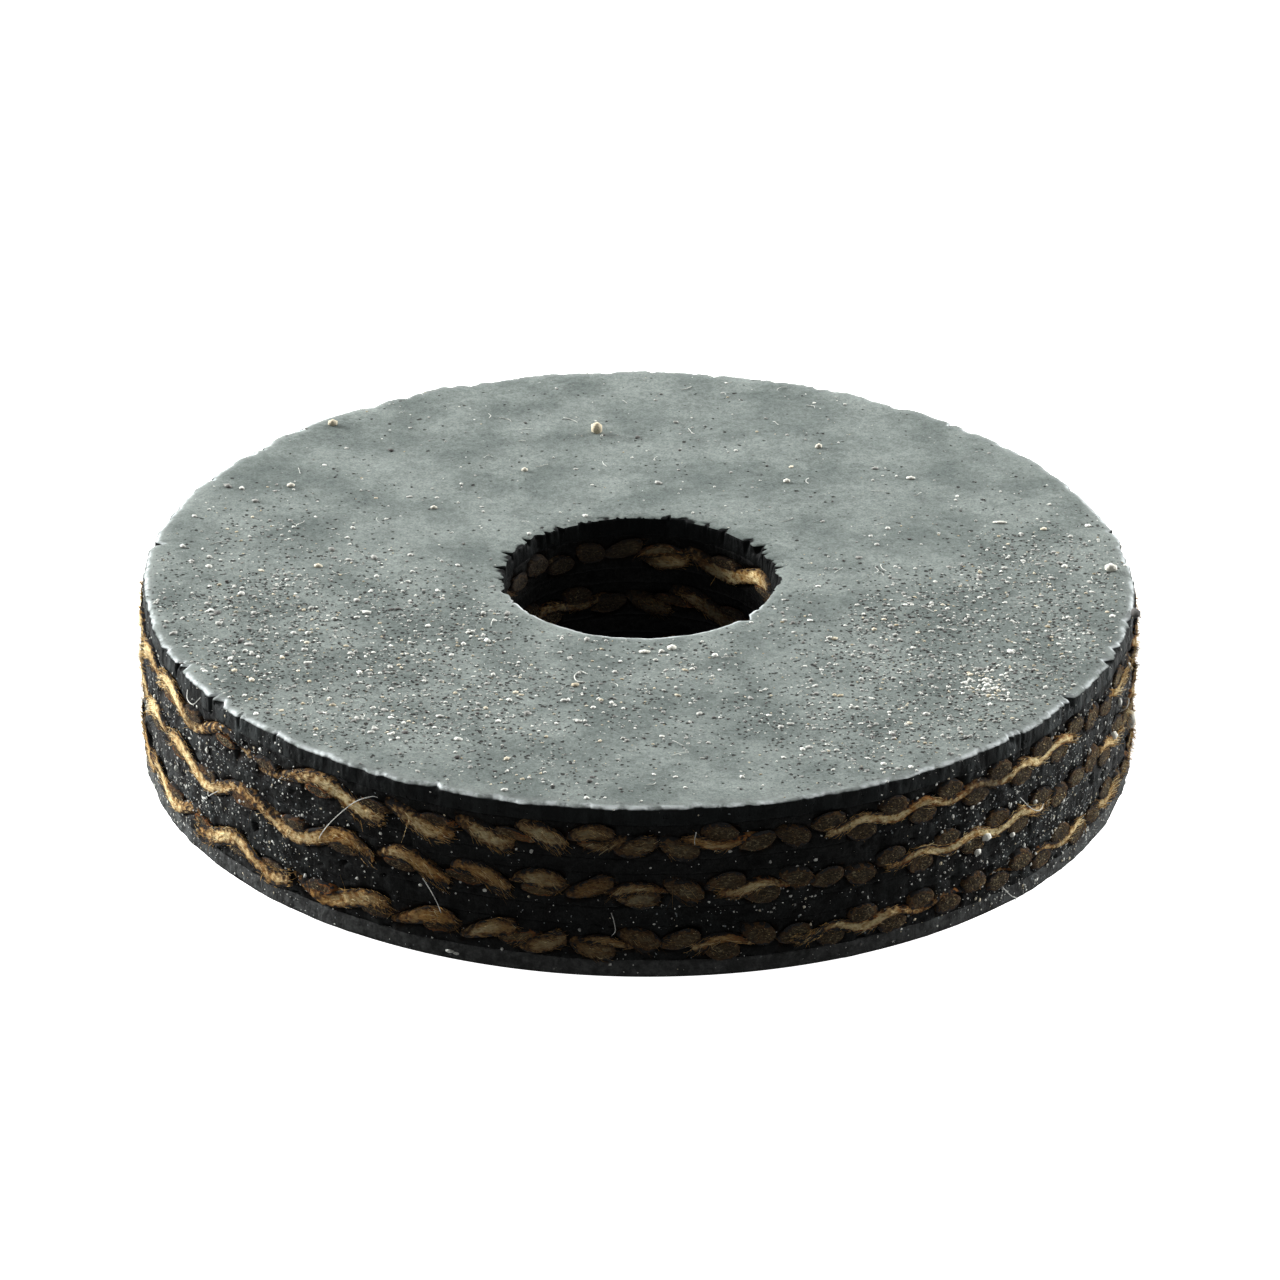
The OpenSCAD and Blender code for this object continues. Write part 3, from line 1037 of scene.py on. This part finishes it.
HEAP = (12.1, -8.0, 0.9)  # where pale dust lies thickest on the top: X, Y and how far it reaches
TOP_DUST, RIM_DUST, LINT = 42000, 22000, 70  # how many are tried, or for the lint, laid
random = np.random.default_rng(7)
count = TOP_DUST
radius = np.sqrt(random.uniform((BORE + 0.1) ** 2, (RIM - 0.1) ** 2, count))
spots = around(random.uniform(-180, 180, count), radius, TOP)
heap = hill(np.hypot(spots[:, 0] - HEAP[0], spots[:, 1] - HEAP[1]), 0, HEAP[2])
keep = random.uniform(0, 1, count) < 0.01 + 0.42 * dustiness(spots) + 0.9 * heap
spots, heap = spots[keep], heap[keep]
count = len(spots)
spots[:, 2] += top_relief(spots)
sizes = np.minimum(0.036 * np.exp(random.normal(0, 0.5, count)) * (1 + 0.5 * heap), 0.13)
top_dust = Build()
up = np.tile((0.0, 0, 1), (count, 1))
dark = (random.uniform(0, 1, count) < 0.25) & (sizes < 0.06) & (heap < 0.3)
tone = np.clip(random.normal(0.55, 0.28, count) + 0.35 * heap, 0, 1) * ~dark
grains(top_dust, spots, up, sizes, random.uniform(0.25, 0.6, count), tone,
       (random.uniform(0, 1, count) < 0.1) * 0.6, 71)
top_dust.make("top_dust", DUST)

count = RIM_DUST
angle = random.uniform(-180, 180, count)
z = random.uniform(0.15, TOP - 0.1, count)
walls = around(angle, RIM, z)
keep = random.uniform(0, 1, count) < wall_dust_and_sheen(walls) * (0.3 + 0.7 * (z < TOP - 0.8))
walls, angle = walls[keep], angle[keep]
count = len(walls)
outs = around(angle, 1, 0)
walls = warped(walls + outs * rim_wall(walls)[:, None])
rim_dust = Build()
sizes = np.minimum(0.024 * np.exp(random.normal(0, 0.5, count)), 0.08)
grains(rim_dust, walls, outs, sizes, random.uniform(0.2, 0.5, count),
       np.clip(random.normal(0.7, 0.25, count), 0, 1), (random.uniform(0, 1, count) < 0.1) * 0.7, 72)
rim_dust.make("rim_dust", DUST)

# Single grains that stand out. On the top: X, Y, radius along X, Y and Z, tone and how tan
TOP_GRAINS = [
    (-1.6, 12.0, 0.24, 0.22, 0.26, 0.9, 0.8), (-11.3, 12.4, 0.2, 0.16, 0.14, 0.8, 0.7),
    (6.5, 10.8, 0.15, 0.13, 0.1, 0.9, 0.4), (16.7, 0.9, 0.26, 0.2, 0.16, 1.0, 0.2),
    (0.2, -6.0, 0.24, 0.13, 0.05, 0.95, 0.2), (1.15, -5.7, 0.19, 0.2, 0.08, 0.95, 0.15),
    (0.8, -5.95, 0.12, 0.1, 0.05, 0.9, 0.1), (12.9, 4.7, 0.3, 0.1, 0.04, 0.9, 0.2),
    (-12.6, 7.1, 0.16, 0.12, 0.08, 0.9, 0.3), (5.3, 7.9, 0.14, 0.12, 0.08, 0.85, 0.2),
    (-4.2, 8.6, 0.13, 0.12, 0.08, 0.8, 0.4), (9.8, 8.3, 0.18, 0.12, 0.06, 0.85, 0.1),
    (-7.4, 5.4, 0.14, 0.1, 0.07, 0.85, 0.3), (17.42, -2.4, 0.2, 0.35, 0.12, 0.0, 0.0),
]
# On the rim: angle, Z, radius along the rim, outwards and up, tone and how tan
RIM_GRAINS = [
    (79.5, 2.7, 0.32, 0.2, 0.42, 1.0, 0.2), (70.5, 3.4, 0.2, 0.14, 0.17, 0.95, 0.2),
    (73, 4.35, 0.09, 0.08, 0.2, 0.95, 0.05), (77, 5.2, 0.1, 0.1, 0.12, 0.95, 0.1),
    (42.7, 3.1, 0.2, 0.14, 0.15, 1.0, 0.1), (41.4, 2.65, 0.16, 0.12, 0.13, 0.95, 0.1),
    (47, 2.7, 0.13, 0.1, 0.1, 0.95, 0.1), (51, 3.5, 0.11, 0.08, 0.08, 0.95, 0.1),
    (-21, 0.35, 0.16, 0.06, 0.08, 0.9, 0.0), (-20.2, 0.3, 0.12, 0.05, 0.06, 0.9, 0.0),
    (-57.5, 4.3, 0.08, 0.05, 0.14, 0.95, 0.1), (-66, 2.4, 0.07, 0.05, 0.12, 0.95, 0.1),
    (63, 3.9, 0.07, 0.05, 0.1, 0.95, 0.1), (-74, 4.0, 0.08, 0.05, 0.12, 0.95, 0.1),
]
chips = Build()


def chip(place, ways, sizes, looks, seed):
    lumps = 1 + 0.16 * noise(ICO * 3 + seed[:3], 1, seed[3])[:, None]
    chips.add(place + ICO * lumps * sizes @ ways, (*looks, 0), tris=ICO_FACES)


for x, y, along, across, high, tone, tan in TOP_GRAINS:
    place = np.array([[x, y, TOP]])
    place[:, 2] += top_relief(place)[0] + high * 0.6
    chip(place, np.eye(3), (along, across, high), (tone, tan), (x, y, 0, 81))
for angle, z, along, outwards, high, tone, tan in RIM_GRAINS:
    place = around(np.array([angle]), RIM + 0.04 + outwards * 0.5, z)
    ways = np.stack([around(angle + 90, 1, 0), around(angle, 1, 0), (0, 0, 1)])
    chip(place, ways, (along, outwards, high), (tone, tan), (angle, z, 0, 82))
chips.make("loose_grains", DUST)

# Stray fibres: points on their way, as angle, Z and how far they stand off the rim
RIM_STRAYS = [
    [(-38, 3.2, 0.02), (-36.6, 3.7, 0.45), (-34.3, 4.6, 0.75), (-31.8, 5.45, 0.6), (-30.3, 5.65, 0.25),
     (-29.8, 5.6, 0.1)],
    [(-24.3, 2.9, 0.02), (-23, 2.7, 0.3), (-22, 2.3, 0.4), (-21.9, 1.8, 0.15)],
    [(48.4, 3.95, 0.02), (49.4, 3.5, 0.3), (51, 3.25, 0.3), (52.8, 3.25, 0.05)],
    [(45.9, 0.75, 0.02), (46.5, 0.45, 0.25), (47.4, 0.25, 0.25), (47.8, 0.05, 0.1)],
    [(-62.4, 5.95, 0.03), (-60.9, 5.85, 0.25), (-59.2, 5.9, 0.3), (-58.6, 6.2, 0.1)],
    [(-57.6, 2.9, 0.02), (-56.6, 2.7, 0.2), (-55.6, 2.9, 0.25), (-54.8, 3.1, 0.1)],
    [(74, 3.8, 0.02), (73.6, 4.1, 0.3), (74.4, 4.3, 0.3), (75, 4.2, 0.1)],
    [(-2.6, 1.6, 0.02), (-2.2, 1.9, 0.2), (-2.4, 2.3, 0.2), (-2.7, 2.5, 0.05)],
    [(6.5, 5.0, 0.02), (6.3, 5.3, 0.2), (6.5, 5.6, 0.15)],
]


def strand(build, knots, thick, tone):
    """A thin round fibre on a smooth line through its knots."""
    knots = np.concatenate([[2 * knots[0] - knots[1]], knots, [2 * knots[-1] - knots[-2]]])
    a, b, c, d = (knots[k:len(knots) - 3 + k, None] for k in range(4))
    t = np.arange(0, 1, 0.125)[:, None]
    path = 0.5 * (2 * b + (c - a) * t + (2 * a - 5 * b + 4 * c - d) * t**2
                  + (3 * b - a - 3 * c + d) * t**3)
    path = np.concatenate([path.reshape(-1, 3), knots[-2:-1]])
    tubes(build, path[None], thick, 5, tone, (0.31, 0.52, 0.79))


strays = Build()
for knots in RIM_STRAYS:
    strand(strays, np.array([around(a, RIM + off, z) for a, z, off in knots]), 0.015, 0.9)
radius = np.sqrt(random.uniform((BORE + 0.6) ** 2, (RIM - 0.8) ** 2, LINT))
spots = around(random.uniform(-180, 180, LINT), radius, TOP)
for spot in spots:
    heading, curl = random.uniform(0, 2 * np.pi), random.uniform(-2.2, 2.2)
    length = random.uniform(0.25, 0.9)
    t = np.linspace(0, 1, 4)
    ways = np.stack([np.cos(heading + curl * t), np.sin(heading + curl * t), np.zeros(4)], 1)
    path = spot + np.cumsum(ways * length / 4, axis=0)
    path[:, 2] = TOP + top_relief(path) + 0.01 + random.uniform(0, 0.05, 4)
    strand(strays, path, random.uniform(0.007, 0.013), random.uniform(0.6, 1))
c_curl = [(-1.75, -7.75), (-2.0, -7.55), (-2.2, -7.9), (-2.1, -8.3), (-1.8, -8.4)]
strand(strays, np.array([(x, y, TOP + 0.04) for x, y in c_curl]), 0.018, 0.95)
strays.make("stray_fibres", DUST)

# ---- light and floor


def soft_light(name, place, size, power):
    light = bpy.data.lights.new(name, "AREA")
    light.shape = "RECTANGLE"
    light.size, light.size_y = size
    light.energy = power
    lamp = new_object(name, light)
    lamp.location = place
    lamp.visible_camera = False
    lamp.rotation_mode = "QUATERNION"
    lamp.rotation_quaternion = (Vector((0, 0, 0.003)) - Vector(place)).to_track_quat("-Z", "Y")


soft_light("left_light", (-0.60, 0.32, 0.18), (0.3, 0.3), 19)
soft_light("right_light", (0.60, 0.32, 0.18), (0.3, 0.3), 10.5)
soft_light("back_light", (0, 0.7, 0.3), (0.8, 0.3), 3)
soft_light("top_light", (0, 0.10, 0.6), (0.25, 0.25), 1.55)
soft_light("front_light", (0, -0.62, 0.17), (0.5, 0.15), 0.6)

world = bpy.data.worlds.new("world")
scene.world = world
world.use_nodes = True
world.node_tree.nodes["Background"].inputs["Color"].default_value = (1, 1, 1, 1)
world.node_tree.nodes["Background"].inputs["Strength"].default_value = 0.03

g = Graph("stage_white")
g.put(g.shader.inputs["Emission Color"], (1, 1, 1))
g.put(g.shader.inputs["Emission Strength"], 1.2)
white = g.finish((0.9, 0.9, 0.88), 0.9)

bpy.ops.mesh.primitive_circle_add(vertices=96, radius=3, fill_type="NGON", location=(0, 0, -0.00002))
floor = bpy.context.object
floor.name = "floor"
bpy.ops.mesh.primitive_uv_sphere_add(segments=48, ring_count=24, radius=3.2)
backdrop = bpy.context.object
backdrop.name = "backdrop"
for stage in (floor, backdrop):
    stage.data.materials.append(white)
    stage.visible_diffuse = stage.visible_shadow = False
